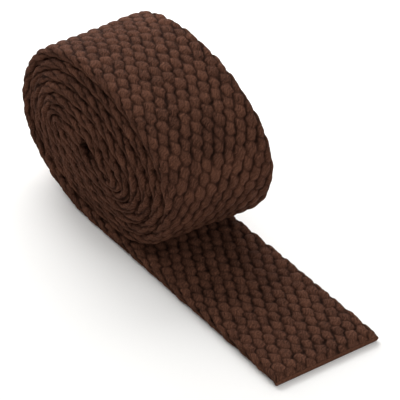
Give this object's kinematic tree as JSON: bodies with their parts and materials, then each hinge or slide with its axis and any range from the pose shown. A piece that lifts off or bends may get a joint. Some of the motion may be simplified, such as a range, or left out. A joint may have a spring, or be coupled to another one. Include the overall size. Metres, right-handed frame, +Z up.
{
  "type": "roll of cotton webbing",
  "caption": "Oval hand-wound roll of thick brown cotton webbing lying on its own flat loose end, with the edges of its turns showing as ridges on both faces",
  "frame": {"origin": "middle of the bounding box along X and Y, on the surface that the roll rests on", "axes": "+X runs along the loose end towards its cut end, Y is the roll's axis with the face that stands proud at -Y, +Z is up"},
  "size_m": [0.0816, 0.0276, 0.0321],
  "materials": {
    "woven_cotton_brown": "matte woven cotton"
  },
  "bodies": {
    "root": {"webbing_roll": "woven_cotton_brown"}
  },
  "joints": []
}
